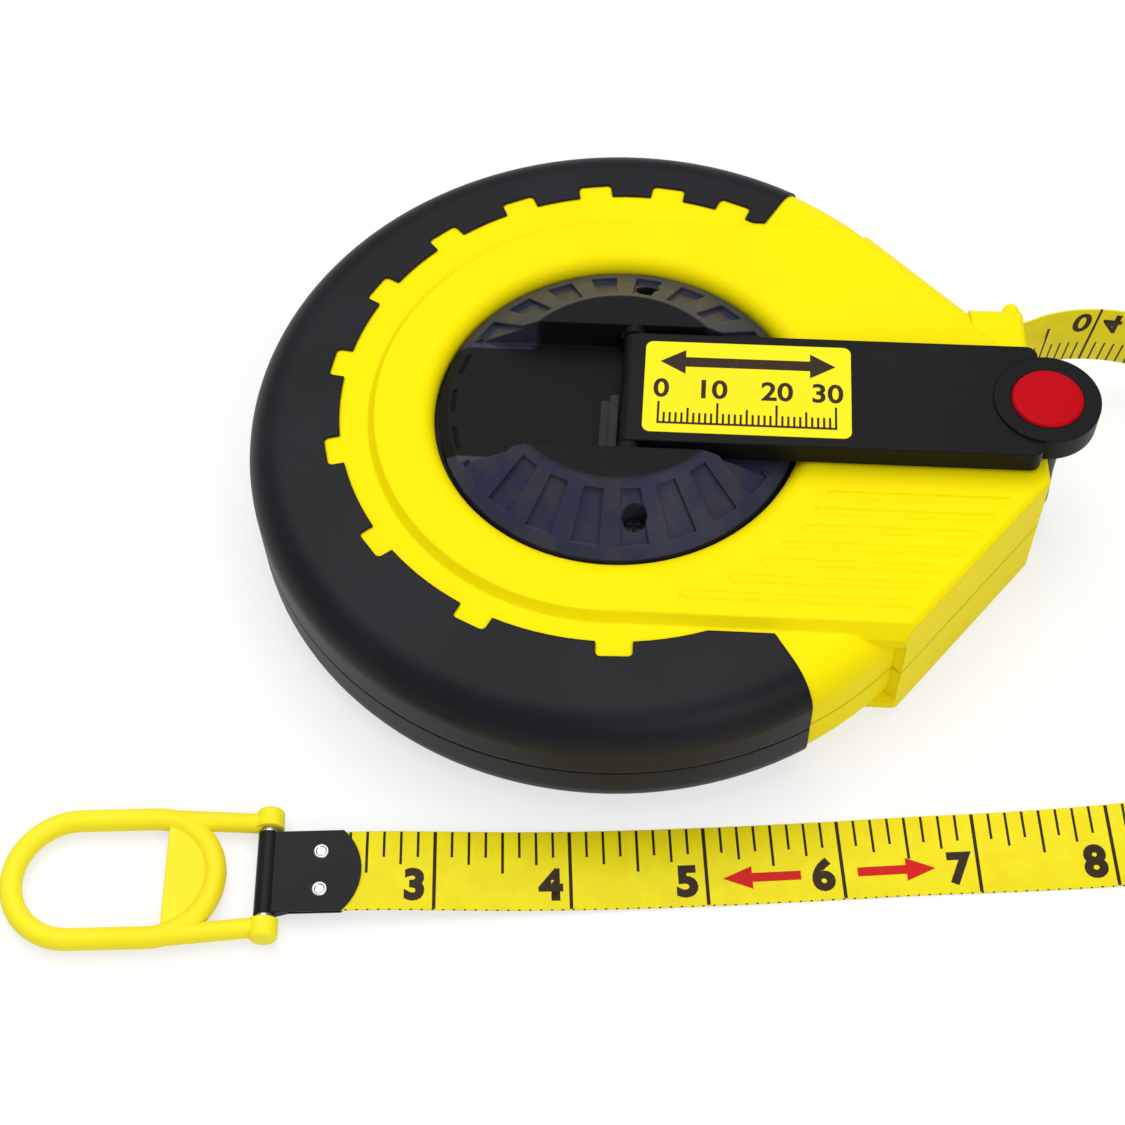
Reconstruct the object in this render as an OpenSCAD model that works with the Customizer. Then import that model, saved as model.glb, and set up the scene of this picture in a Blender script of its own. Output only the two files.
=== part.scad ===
// Closed-case long tape for surveying: a glass-fibre tape on a drum in a two-shell case,
// with rubber grips, a fold-over crank and a pull ring on the end of the tape.
// Origin on the drum axis at the underside of the case, +X to the nose, +Z up, millimetres.

/* [Case] */
// Radius of the round part of the case
case_r = 73.2; // [73:0.1:76]
// Offset of the round rim's centre from the drum axis, along the nose
rim_x = -0.7; // [-1:0.1:0]
// Offset of the round rim's centre from the drum axis, across the nose
rim_y = -0.7; // [-1:0.1:0]
// Height of the case over its two raised decks
case_h = 31; // [30:0.5:34]
// Rounding of the rim in section
rim_round = 7; // [6:0.5:9]
// Thickness of the shell walls
wall = 2.5; // [2.3:0.1:2.7]
// Rise of each deck above the shoulder of the rim
deck_rise = 2; // [1.6:0.1:2.2]
// Half width of the raised decks
deck_half_w = 48.7; // [45:0.1:50]
// Width of the slope at the edge of a deck
deck_slope = 1.4; // [1:0.1:2.4]
// Chamfer along the upright walls of the nose
nose_chamfer = 0.9; // [0.4:0.1:1.5]
// Gap round the crank hub in the upper deck
opening_gap = 0.9; // [0.5:0.1:3]
// Rounding of the lip of the drum opening
opening_round = 3.6; // [2:0.1:4.2]
// Half height of the groove where the shells meet
seam_h = 0.25; // [0.1:0.05:0.4]
// Depth of the groove where the shells meet
seam_deep = 0.6; // [0.3:0.1:1]

/* [Nose] */
// Direction that the near wall of the nose faces, in degrees
near_face = -38; // [-42:0.5:-34]
// Distance of the near wall from the drum axis
near_d = 75.2; // [74:0.1:76]
// How far the near wall runs back beside the round rim
near_run = 5; // [4:0.5:9]
// Direction that the far wall of the nose faces, in degrees
far_face = 45; // [42:0.5:48]
// Distance of the far wall from the drum axis
far_d = 73.4; // [72.6:0.1:74]
// Rounding of the far wall's top edge
far_round = 8; // [7.6:0.1:8.4]
// How far the deck stays back from the far wall
far_deck_back = 5.4; // [4:0.1:7]
// Direction that the end of the nose faces, in degrees
end_face = 3.5; // [0:0.5:6]
// Distance of the end of the nose from the drum axis
end_d = 83.1; // [82:0.1:86]
// Radius of the notch that takes the knob
notch_r = 7.9; // [7:0.1:9]
// Number of ridges on the near half of the deck
ridge_count = 7; // [3:1:8]
// Distance between ridges
ridge_pitch = 4; // [3:0.1:4.2]
// Distance of the first ridge from the middle line
ridge_first = 20.3; // [18:0.1:22]
// Radius of the rounding of a ridge
ridge_r = 1.4; // [1:0.1:1.6]
// How far the ridges start inside the round edge of the deck
ridge_back = 2.1; // [1.8:0.1:3]
// Height of a ridge above the deck
ridge_h = 0.4; // [0.2:0.05:0.5]

/* [Tape mouth] */
// Width of the mouth block across the far side of the nose
mouth_y = 32.4; // [32.3:0.1:34]
// Rounding of the mouth block's top edge
mouth_round = 6.4; // [5:0.1:6.4]
// Where the mouth block starts along the nose
mouth_x = 71; // [68:0.5:73]
// Middle of the tape's way out, across the nose
guide_y = 28.5; // [27.5:0.1:29.5]
// Middle of the tape's way out, above the underside
guide_z = 16.8; // [16.6:0.1:17]
// Length of the tape guide
guide_len = 8; // [6:0.1:9]
// Wall of the tape guide
guide_wall = 0.8; // [0.6:0.05:0.8]
// Room across the tape inside the guide
guide_gap = 3.4; // [3:0.1:3.6]
// Radius of the lip beside the mouth
lip_r = 1.8; // [1.2:0.1:2.2]

/* [Grip] */
// How far the rubber stands proud of the shell
grip_proud = 0.6; // [0.2:0.1:0.8]
// How deep the rubber sits in the shell
grip_deep = 1.4; // [1:0.1:1.6]
// Angle from the nose to the near end of the rubber, in degrees
grip_near = 57.4; // [54:0.2:64]
// Angle from the nose to the far end of the rubber, in degrees
grip_far = 60.6; // [54:0.2:64]
// Radius of the inner edge of the rubber between teeth
grip_edge_r = 56; // [54:0.1:58]
// Offset of the centre of that edge across the case
grip_edge_y = 1.5; // [0:0.1:2.5]
// Yellow margin between the straight edge of the deck and the rubber
grip_margin = 1; // [0.4:0.1:2]
// Number of teeth along the edge
tooth_count = 11; // [6:1:11]
// Height of a tooth
tooth_h = 3.1; // [2:0.1:4]
// Width of a tooth
tooth_w = 7; // [4:0.1:8]
// Rounding of a tooth's corners
tooth_round = 1; // [0.4:0.1:1.4]
// Direction of the first tooth, in degrees
tooth_first = 67.9; // [66:0.1:72]
// Angle from the first tooth to the second
tooth_step = 14.5; // [12:0.1:15]
// Growth of that angle from each tooth to the next
tooth_growth = 1.074; // [1.02:0.002:1.08]

/* [Drum] */
// Radius of the fixed axle post
axle_r = 6; // [5:0.1:7]
// Radial play between axle and drum
axle_play = 0.05; // [0.02:0.01:0.1]
// Radius of the drum core that the tape is wound on
core_r = 34; // [33:0.1:36]
// Room between the drum flanges and the wall of the case
flange_gap = 6.7; // [6.6:0.1:9]
// Thickness of a drum flange
flange_t = 1.5; // [1.2:0.1:1.7]
// How far the wound tape stays inside the flanges
roll_back = 0.6; // [0.4:0.1:5]
// Play of the wound tape between the flanges, each side
roll_play = 0.3; // [0.2:0.05:0.5]
// Thickness of the washer under the drum
washer_t = 0.6; // [0.4:0.1:0.8]

/* [Crank hub] */
// Outer radius of the hub
hub_r = 36; // [34.5:0.1:36.2]
// Height of the hub's outer edge above the underside
hub_edge_z = 28.6; // [28:0.1:29.4]
// Radius of the flat top of the hub
hub_top_r = 22.7; // [20:0.1:24]
// Height of the hub's top above the underside
hub_top_z = 37; // [36.6:0.1:37.6]
// Number of recesses round the cone
recess_count = 22; // [12:1:24]
// Width of a recess at its outer end
recess_w = 5.4; // [4:0.1:6]
// Narrowing of a recess towards the middle
recess_taper = 1.6; // [0:0.1:2]
// Depth of a recess
recess_deep = 0.9; // [0.5:0.1:1.2]
// Floor height of the slot that the crank folds into
slot_floor = 29.8; // [29:0.1:30.4]
// Half width of that slot
slot_half_w = 15.2; // [14.8:0.1:16]
// Distance of the two hub screws from the outer edge of the hub
screw_back = 7.3; // [7:0.1:8]
// Direction of the hub screws from the nose, in degrees
screw_dir = 81; // [76:0.5:88]

/* [Crank arm] */
// Distance of the fold axis from the drum axis
fold_x = 2.5; // [1.5:0.1:4]
// Height of the fold axis
fold_z = 34.8; // [34.75:0.05:35.2]
// Radius of the barrel on the fold axis
barrel_r = 2; // [1.9:0.05:2.1]
// Radius of the hinge pin
pin_r = 1.2; // [1:0.05:1.3]
// Play of the arm on its pin
pin_play = 0.06; // [0.02:0.01:0.1]
// Play of the pin in the hub and of other fixed pins
fixed_play = 0.02; // [0.01:0.01:0.05]
// Half width of the arm
arm_half_w = 13.3; // [12:0.1:13.6]
// Height of the underside of the arm
arm_low = 31.8; // [31.7:0.05:32.2]
// Thickness of the arm's top plate
arm_plate = 2; // [1.6:0.1:2.4]
// Thickness of the arm's side skirts
arm_skirt = 2; // [1.4:0.1:2.4]
// Length of the arm from the drum axis to its square end
arm_end = 82; // [80:0.1:84]
// Rounding of the square end's corners
arm_round = 2.2; // [1:0.1:3]
// Distance of the knob axis from the drum axis
knob_x = 83.2; // [82.8:0.1:84]
// Radius of the eye at the end of the arm
eye_r = 10.35; // [9.5:0.05:11]
// Height of the eye above the arm
eye_rise = 0.6; // [0.3:0.1:0.7]
// Length of the label
label_l = 40.4; // [30:0.1:50]
// Width of the label
label_w = 22.4; // [16:0.1:24]
// Thickness of the label
label_t = 0.15; // [0.1:0.05:0.3]
// Distance of the label from the drum axis
label_x = 5; // [4.8:0.1:10]
// Rounding of the label's corners
label_round = 1.6; // [0.5:0.1:3]

/* [Knob] */
// Radius of the knob at the arm
knob_r = 5.6; // [5.4:0.05:5.7]
// Radius of the knob's waist
knob_waist = 4.9; // [4.5:0.1:5.1]
// Length of the knob
knob_l = 26; // [22:0.5:28]
// Play between knob and arm
knob_gap = 0.35; // [0.3:0.05:0.5]
// Radius of the knob pin
knob_pin_r = 2.2; // [1.8:0.1:2.6]
// Radius of the red cap
cap_r = 7; // [6:0.1:8]
// Depth of the cap's seat in the eye
cap_seat = 1.6; // [1.2:0.1:2]
// Height of the cap above the eye
cap_rise = 0.5; // [0.3:0.05:0.55]
// Rounding of the cap's edge
cap_round = 0.8; // [0.4:0.1:1]

/* [Tape] */
// Width of the tape
tape_w = 16; // [13:0.5:16.4]
// Thickness of the tape
tape_t = 0.4; // [0.3:0.05:0.45]

/* [Pull ring] */
// Distance of the ring pin from the drum axis towards the ring
ring_pin_x = 61; // [60:0.5:63]
// Height of the ring pin
ring_pin_z = 2.8; // [2.75:0.05:3.2]
// Radius of the ring pin
ring_pin_r = 1.6; // [1.3:0.05:1.7]
// Radius of the round bar that the ring is made of
ring_bar_r = 2.1; // [1.6:0.1:2.4]
// Radius of the ring's round ends, at the middle of the bar
ring_turn_r = 12; // [11.5:0.1:14]
// Length of the ring's straight sides
ring_side = 14.3; // [8:0.1:20]
// Distance from the pin to the middle of the ring's first round end
ring_reach = 21.7; // [20:0.1:25]
// Thickness of the web that closes the first round end
web_t = 2.4; // [1.6:0.1:3]
// Radius of the bosses on the ring pin
boss_r = 2.7; // [2.4:0.05:2.75]
// Rounding of a boss's outer end
boss_round = 1; // [0.5:0.1:1.2]
// Gap between the clip and a boss
boss_gap = 1; // [0.4:0.1:1.4]
// Length of each boss
boss_l = 4; // [3:0.1:6]

/* [Tape clip] */
// Length of the clip from the ring pin
clip_l = 17.8; // [16:0.2:20]
// Width of the clip
clip_w = 16.4; // [16:0.1:17.4]
// Thickness of the clip's sheet
clip_t = 0.4; // [0.3:0.05:0.5]
// Radius of the clip's rounded end in plan
clip_end_r = 11; // [9:0.5:14]
// Radius of an eyelet's flange
eyelet_r = 1.65; // [1.2:0.05:2]
// Distance between the two eyelets
eyelet_pitch = 7.6; // [6:0.1:9]
// Distance of the eyelets from the ring pin
eyelet_x = 10.2; // [9:0.1:12]

/* [Hidden] */
$fn = 96;
far_away = 200;
cut = 1;
// Direction where the round surfaces start and end
rim_seam = 178;

part_z = case_h / 2;
shoulder_z = case_h - deck_rise;
ceil_z = shoulder_z - wall;
floor_z = deck_rise + wall;

seat_h = 0.7;
drum_z = floor_z + seat_h + washer_t;
roll_z = drum_z + flange_t + roll_play;
core_top = roll_z + tape_w + roll_play;
hub_z = core_top + flange_t;

arm_top = fold_z + barrel_r;
eye_top = arm_top + eye_rise;
cap_z = eye_top - cap_seat;
knob_top = arm_low - knob_gap;
knob_low = knob_top - knob_l;

guide_w = guide_gap + 2 * guide_wall;
guide_room = tape_w + 1.2;
guide_h = guide_room + 2 * guide_wall;
guide_end = end_d - 1.4 - guide_y * sin(end_face);
guide_start = guide_end - guide_len;

opening_r = hub_r + opening_gap;
flange_r = case_r - wall - flange_gap;
roll_r = flange_r - roll_back;
screw_circle = hub_r - screw_back;

case_screw_r = 1.2;
case_screw_head = 2.1;
case_screw_play = 0.3;
case_screw_seat = 8;
case_screw_top = 22;
case_boss_r = 2.5;
rim_screw_circle = case_r - wall - case_boss_r - 0.7;
rim_screw_dirs = [100, 157, 203, 260];
nose_screws = [[71.5, -18], [72, 14]];
case_screw_spots = concat(
    [for (a = rim_screw_dirs) [rim_x, rim_y] + rim_screw_circle * [cos(a), sin(a)]],
    nose_screws
);

hub_screw_r = 1.2;
hub_screw_head = 2.3;
hub_screw_seat = 27.5;
hub_screw_play = 0.1;
hub_screw_bite = 8;
hub_wall = 2.2;

// Height of the tape's middle in the mouth
mouth_tape_z = guide_z + 0.5;
// Height of the tape's middle in the end clip
tape_end_z = ring_pin_z + 0.8;

// Middle line of the tape outside the case, from the guide to the clip: x, y, z and the
// lean of its width in degrees, 90 upright on its edge and 0 flat with its face up.
tape_route = [
    [guide_end - 3.46, guide_y - 0.5, mouth_tape_z, 90], [guide_end - 0.46, guide_y - 0.1, mouth_tape_z, 90],
    [guide_end + 3.04, guide_y + 1.2, mouth_tape_z - 0.1, 90], [guide_end + 7.04, guide_y + 3.3, 17, 90],
    [92, 33.6, 16.6, 90], [98, 34.8, 15.9, 90], [106.5, 35, 14.8, 90], [116, 33.5, 13.4, 90],
    [126.5, 29.8, 11.8, 90], [137, 24.3, 10.4, 90], [146.5, 17.2, 9.3, 90], [155, 8.5, 8.6, 90],
    [161, -1.7, 8.3, 90], [164.5, -12.8, 8.2, 90], [165.5, -24.4, 8.2, 88], [163.6, -36, 8.2, 82],
    [158.8, -46.8, 8, 73], [151.5, -56.2, 7.3, 61], [142, -64, 6.1, 46], [131, -69.6, 4.4, 30],
    [119, -73.3, 3, 19], [107.5, -75.5, 2, 12], [96, -77, 1.3, 7], [80, -78.8, 0.8, 3.5],
    [60, -80.8, 0.5, 1], [40, -83.1, 0.4, 0], [20, -85.3, 0.5, 0], [0, -87.3, 0.9, 0],
    [-15, -88.7, 1.7, 0], [-30, -89.9, 2.8, 0], [-42, -90.9, tape_end_z, 0], [-48, -91.4, tape_end_z, 0],
    [-55, -92, tape_end_z, 0]
];
// Middle line of the tape inside the case, from the roll to the guide
lead_dir = 48;
lead_from = (roll_r + 0.9) * [cos(lead_dir), sin(lead_dir)];
lead_bend = [guide_end - 12.6, guide_y - 2.8];
lead_to = [guide_end - 5.5, guide_y - 0.8];
lead_route = [
    for (k = [0 : 8])
        let (
            t = k / 8,
            p = (1 - t) * (1 - t) * lead_from + 2 * t * (1 - t) * lead_bend + t * t * lead_to
        ) [p[0], p[1], roll_z + tape_w / 2 + pow(t, 3) * (mouth_tape_z - roll_z - tape_w / 2), 90]
];
tape_heading = 4.76;
clip_y = -92.5;

// Section of one half of the case with the rim's rounding, measured along x and grown or shrunk.
// It runs a little past the parting plane, where the shells are cut flat.
module rim_half(reach, grow = 0, from = 0, low = part_z - cut, plain_round = rim_round) {
    r = reach + grow;
    top = shoulder_z + grow;
    round = plain_round + grow;
    intersection() {
        translate([from, low]) square([r - from, top - low]);
        union() {
            translate([from, low]) square([r - round - from, top - low]);
            translate([from, low]) square([r - from, top - round - low]);
            translate([r - round, top - round]) circle(round);
        }
    }
}

// Section of an upright wall with a chamfered top edge, or of the room behind it
module wall_half(reach, top, chamfer) {
    polygon([
        [-far_away, -far_away], [reach, -far_away], [reach, top - chamfer],
        [reach - chamfer, top], [-far_away, top]
    ]);
}

// Carries a section along a straight wall that faces the given direction
module along_wall(face) {
    rotate([0, 0, face])
        rotate([90, 0, 0])
            linear_extrude(2 * far_away, center = true) children();
}

// Where two walls that face the given directions meet in plan
function meet(face_a, d_a, face_b, d_b) =
    let (turn = sin(face_b - face_a))
        [d_a * sin(face_b) - d_b * sin(face_a), d_b * cos(face_a) - d_a * cos(face_b)] / turn;

// Point where a wall that faces the given direction leaves the round rim, moved along that wall
function foot_of(face, d, along) = d * [cos(face), sin(face)] + along * [-sin(face), cos(face)];

// Plan of the nose between the drum axis and its near, end and far walls
function nose_plan(inset) = [
    [0, 0],
    foot_of(near_face, near_d - inset, inset - near_run),
    meet(near_face, near_d - inset, end_face, end_d - inset),
    meet(end_face, end_d - inset, far_face, far_d - inset),
    foot_of(far_face, far_d - inset, -inset)
];

// Plan of the mouth block at the far corner of the nose
function mouth_plan(inset) = [
    [mouth_x - inset, notch_r],
    meet(end_face, end_d - inset, 90, notch_r),
    meet(end_face, end_d - inset, 90, mouth_y - inset),
    [mouth_x - inset, mouth_y - inset]
];

// Upper half of the nose and its mouth block, shrunk by inset on every side
module nose_half(inset, top, chamfer, low) {
    intersection() {
        translate([0, 0, low]) linear_extrude(top - low) polygon(nose_plan(inset));
        along_wall(far_face) rim_half(far_d, -inset, -far_away, -far_away, far_round);
        along_wall(near_face) wall_half(near_d - inset + cut, top + cut, chamfer + 2 * cut);
        along_wall(end_face) wall_half(end_d - inset + cut, top + cut, chamfer + 2 * cut);
    }
    intersection() {
        translate([0, 0, low]) linear_extrude(top - low) polygon(mouth_plan(inset));
        rotate([90, 0, 90])
            linear_extrude(far_away)
                rim_half(mouth_y, -inset, -far_away, -far_away, mouth_round);
        along_wall(end_face) wall_half(end_d - inset + cut, top + cut, chamfer + 2 * cut);
    }
}

// Section of the deck's edge. Its slope starts a little below the shoulder of the rim.
function deck_edge(half_w) =
    let (sunk = 1.5, low = shoulder_z - wall - cut)
        [
            [0, low], [half_w + sunk * deck_slope, low],
            [half_w + sunk * deck_slope, case_h - sunk * deck_rise], [half_w, case_h], [0, case_h]
        ];

// The raised deck of one half: part of a disc, and a straight part that runs out to the nose
module deck_half() {
    disc_to = 80;
    straight_half_w = deck_half_w - 0.1;
    rotate([0, 0, disc_to])
        rotate_extrude(angle = 360 - 2 * disc_to) polygon(deck_edge(deck_half_w));
    intersection() {
        rotate([90, 0, 90])
            linear_extrude(far_away)
                union() {
                    polygon(deck_edge(straight_half_w));
                    mirror([1, 0]) polygon(deck_edge(straight_half_w));
                }
        along_wall(near_face) wall_half(near_d, case_h, nose_chamfer);
        along_wall(end_face) wall_half(end_d, case_h, nose_chamfer);
        along_wall(far_face)
            translate([far_d - far_deck_back - deck_slope - far_away, 0]) polygon(deck_edge(far_away));
    }
}

// Plan of the whole case, shrunk by inset
module case_plan(inset) {
    translate([rim_x, rim_y]) circle(case_r - inset);
    polygon(nose_plan(inset));
    polygon(mouth_plan(inset));
}

// What is cut off below the parting plane, and the groove along it
module parting_cut() {
    translate([-far_away, -far_away, part_z - far_away])
        cube([2 * far_away, 2 * far_away, far_away]);
    translate([0, 0, part_z - cut])
        linear_extrude(cut + seam_h)
            difference() {
                circle(far_away);
                case_plan(seam_deep);
            }
}

// Outer form of the upper half of the case, without openings
module half_body() {
    translate([rim_x, rim_y, 0]) rotate([0, 0, rim_seam]) rotate_extrude() rim_half(case_r);
    nose_half(0, shoulder_z, nose_chamfer, part_z - 0.6 * cut);
    deck_half();
}

// Room inside the upper half of the case
module half_cavity() {
    difference() {
        union() {
            translate([rim_x, rim_y, 0])
                rotate([0, 0, rim_seam])
                    rotate_extrude() rim_half(case_r, -wall, 0, part_z - 2 * cut);
            nose_half(wall, ceil_z - 0.4, 0, part_z - 3 * cut);
        }
        notch(notch_r + wall);
    }
}

// Upright notch at the end of the nose that the knob folds into
module notch(r) {
    translate([knob_x, 0, -cut]) cylinder(r = r, h = case_h + 2 * cut);
    translate([knob_x, -r, -cut]) cube([far_away, 2 * r, case_h + 2 * cut]);
}

// Space that the tape guide fills in the end of the nose
module guide_block() {
    translate([guide_start, guide_y - guide_w / 2, guide_z - guide_h / 2])
        cube([guide_len, guide_w, guide_h]);
}

// Way out for the tape in front of and behind its guide
module guide_way() {
    translate([guide_start - cut, guide_y - guide_gap / 2, guide_z - guide_room / 2])
        cube([far_away, guide_gap, guide_room]);
}

// Height where the lip's straight part ends
function lip_top() = shoulder_z - 2 * lip_r;

module lip() {
    translate([end_d - lip_r - mouth_y * sin(end_face) + 0.35, mouth_y - lip_r / 3, 0]) {
        translate([0, 0, part_z - cut]) cylinder(r = lip_r, h = lip_top() - part_z + cut);
        translate([0, 0, lip_top()]) sphere(lip_r);
    }
}

// Flips a shape of the upper half into the lower half
module lower() {
    translate([0, 0, case_h]) mirror([0, 0, 1]) children();
}

module ridges() {
    for (k = [0 : ridge_count - 1]) {
        y = ridge_first + k * ridge_pitch;
        from = sqrt(pow(deck_half_w - ridge_back, 2) - y * y);
        to = (near_d + y * sin(near_face)) / cos(near_face) - 2.8 * ridge_r;
        translate([from, -y, case_h + ridge_h - ridge_r]) {
            rotate([0, 90, 0]) cylinder(r = ridge_r, h = to - from);
            sphere(ridge_r);
            translate([to - from, 0, 0]) sphere(ridge_r);
        }
    }
}

// Plan of the part of the shell that stays bare: deck, nose and toothed edge
module bare_plan() {
    translate([0, grip_edge_y]) {
        circle(grip_edge_r);
        for (k = [0 : tooth_count - 1])
            rotate(tooth_first + tooth_step * (pow(tooth_growth, k) - 1) / (tooth_growth - 1))
                tooth();
    }
    bare_half_w = deck_half_w + deck_slope + grip_margin;
    translate([0, -bare_half_w]) square([far_away, 2 * bare_half_w]);
}

module tooth() {
    reach = grip_edge_r + tooth_h;
    translate([grip_edge_r / 2, -tooth_w / 2]) square([reach - tooth_round - grip_edge_r / 2, tooth_w]);
    translate([grip_edge_r / 2, tooth_round - tooth_w / 2])
        square([reach - grip_edge_r / 2, tooth_w - 2 * tooth_round]);
    for (s = [-1, 1])
        translate([reach - tooth_round, s * (tooth_w / 2 - tooth_round)]) circle(tooth_round);
}

// Ring of rubber over the upper rim, from its seat in the shell out to proud of the shell
module grip_ring(low) {
    difference() {
        translate([rim_x, rim_y, 0])
            rotate([0, 0, grip_far])
                rotate_extrude(angle = 360 - grip_near - grip_far)
                    difference() {
                        rim_half(case_r, grip_proud, 0, low);
                        rim_half(case_r, -grip_deep, 0, low - cut);
                    }
        translate([0, 0, -cut]) linear_extrude(case_h + 2 * cut) bare_plan();
    }
}

module case_bosses() {
    intersection() {
        for (p = case_screw_spots)
            translate([p[0], p[1], part_z - cut]) cylinder(r = case_boss_r, h = case_h);
        half_body();
    }
}

module case_lower() {
    color("gold") {
        difference() {
            union() {
                lower() difference() {
                    union() {
                        half_body();
                        lip();
                    }
                    half_cavity();
                }
                lower() case_bosses();
            }
            lower() parting_cut();
            lower() grip_ring(part_z - cut);
            notch(notch_r);
            guide_block();
            guide_way();
            for (p = case_screw_spots)
                translate([p[0], p[1], -cut]) {
                    cylinder(r = case_screw_r + case_screw_play, h = case_h);
                    cylinder(r = case_screw_head + case_screw_play, h = case_screw_seat + cut);
                }
        }
        translate([0, 0, wall]) cylinder(r = axle_r + 4, h = floor_z + seat_h - wall);
        translate([0, 0, wall]) cylinder(r = axle_r, h = core_top - flange_t - wall);
    }
}

module case_upper() {
    color("gold")
        difference() {
            union() {
                difference() {
                    union() {
                        half_body();
                        lip();
                        ridges();
                    }
                    half_cavity();
                }
                case_bosses();
            }
            parting_cut();
            grip_ring(part_z - cut);
            notch(notch_r);
            guide_block();
            guide_way();
            rotate_extrude() opening_section();
            for (p = case_screw_spots)
                translate([p[0], p[1], 0])
                    cylinder(r = case_screw_r + fixed_play, h = case_screw_top + 1);
        }
}

// Section of the drum opening, with its rounded lip
module opening_section() {
    square([opening_r, case_h + cut]);
    difference() {
        translate([0, case_h - opening_round])
            square([opening_r + opening_round, opening_round + cut]);
        translate([opening_r + opening_round, case_h - opening_round]) circle(opening_round);
    }
}

module grip_lower() {
    color("dimgray")
        difference() {
            lower() grip_ring(part_z + seam_h);
            for (p = case_screw_spots)
                translate([p[0], p[1], -cut]) {
                    cylinder(r = case_screw_r + case_screw_play, h = case_h);
                    cylinder(r = case_screw_head + case_screw_play, h = case_screw_seat + cut);
                }
        }
}

module grip_upper() {
    color("dimgray") grip_ring(part_z + seam_h);
}

module tape_guide() {
    color("black")
        difference() {
            guide_block();
            guide_way();
        }
}

module case_screws() {
    color("silver")
        for (p = case_screw_spots)
            translate([p[0], p[1], 0])
                screw(case_screw_seat, case_screw_top, case_screw_r, case_screw_head);
}

// Pan-head screw with its head below, under seat, and a cross-shaped drive
module screw(seat, tip, shank, head) {
    head_t = 0.7 * head;
    translate([0, 0, seat]) cylinder(r = shank, h = tip - seat);
    difference() {
        translate([0, 0, seat - head_t]) cylinder(r1 = 0.75 * head, r2 = head, h = head_t);
        for (a = [0, 90])
            rotate([0, 0, a])
                translate([-0.6 * head, -0.15 * head, seat - head_t - cut])
                    cube([1.2 * head, 0.3 * head, cut + 0.4 * head_t]);
    }
}

module drum_washer() {
    color("white")
        translate([0, 0, floor_z + seat_h])
            difference() {
                cylinder(r = axle_r + 4, h = washer_t);
                translate([0, 0, -cut]) cylinder(r = axle_r + axle_play, h = washer_t + 2 * cut);
            }
}

// Places of the two hub screws
module at_hub_screws() {
    for (s = [-1, 1])
        translate([screw_circle * cos(screw_dir), s * screw_circle * sin(screw_dir), 0]) children();
}

module drum_core() {
    bearing_wall = 3.5;
    core_wall = 2.4;
    web = 2.6;
    color("dimgray")
        difference() {
            union() {
                translate([0, 0, drum_z]) cylinder(r = flange_r, h = flange_t);
                translate([0, 0, drum_z]) cylinder(r = core_r, h = core_top - drum_z);
            }
            translate([0, 0, drum_z + flange_t])
                difference() {
                    cylinder(r = core_r - core_wall, h = core_top - drum_z - flange_t - web);
                    cylinder(r = axle_r + bearing_wall, h = case_h);
                    at_hub_screws() cylinder(r = 2.5 * hub_screw_r, h = case_h);
                }
            cylinder(r = axle_r + axle_play, h = case_h);
            at_hub_screws()
                translate([0, 0, core_top - hub_screw_bite - cut])
                    cylinder(r = hub_screw_r + fixed_play, h = hub_screw_bite + 2 * cut);
        }
}

module drum_flange() {
    color("dimgray")
        translate([0, 0, core_top])
            difference() {
                cylinder(r = flange_r, h = flange_t);
                translate([0, 0, -cut]) {
                    cylinder(r = axle_r + axle_play, h = flange_t + 2 * cut);
                    at_hub_screws() cylinder(r = hub_screw_r + hub_screw_play, h = flange_t + 2 * cut);
                }
            }
}

module tape_roll() {
    color("khaki")
        translate([0, 0, roll_z])
            difference() {
                cylinder(r = roll_r, h = tape_w);
                translate([0, 0, -cut]) cylinder(r = core_r, h = tape_w + 2 * cut);
            }
}

// Unit vector along a route at point i
function way(route, i) =
    let (
        a = route[max(i - 1, 0)],
        b = route[min(i + 1, len(route) - 1)],
        d = [b[0] - a[0], b[1] - a[1], b[2] - a[2]]
    ) d / norm(d);

// Direction across the tape at point i: level to the left of its way, or leaning up from there
function across(route, i) =
    let (
        t = way(route, i),
        left = [-t[1], t[0], 0] / norm([t[0], t[1]]),
        up = cross(t, left),
        lean = route[i][3]
    ) cos(lean) * left * -1 + sin(lean) * up;

// The four corners of the tape's section at point i
function corners(route, i) =
    let (
        p = [route[i][0], route[i][1], route[i][2]],
        w = across(route, i) * tape_w / 2,
        n = cross(way(route, i), across(route, i)) * tape_t / 2
    ) [p + w + n, p - w + n, p - w - n, p + w - n];

// Flat tape swept along a route as one closed solid
module ribbon(route) {
    count = len(route);
    points = [for (i = [0 : count - 1]) each corners(route, i)];
    sides = [
        for (i = [0 : count - 2], k = [0 : 3])
            let (a = 4 * i + k, b = 4 * i + (k + 1) % 4)
                each [[a, b, a + 4], [b, b + 4, a + 4]]
    ];
    last = 4 * (count - 1);
    ends = [[2, 1, 0], [3, 2, 0], [last, last + 1, last + 2], [last, last + 2, last + 3]];
    polyhedron(points = points, faces = concat(sides, ends));
}

module tape_lead() {
    color("khaki") ribbon(lead_route);
}

module tape_out() {
    color("khaki") ribbon(tape_route);
}

// Height of the hub's cone at a distance from the axis
function cone_z(r) = hub_top_z - (r - hub_top_r) * (hub_top_z - hub_edge_z) / (hub_r - hub_top_r);

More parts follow.
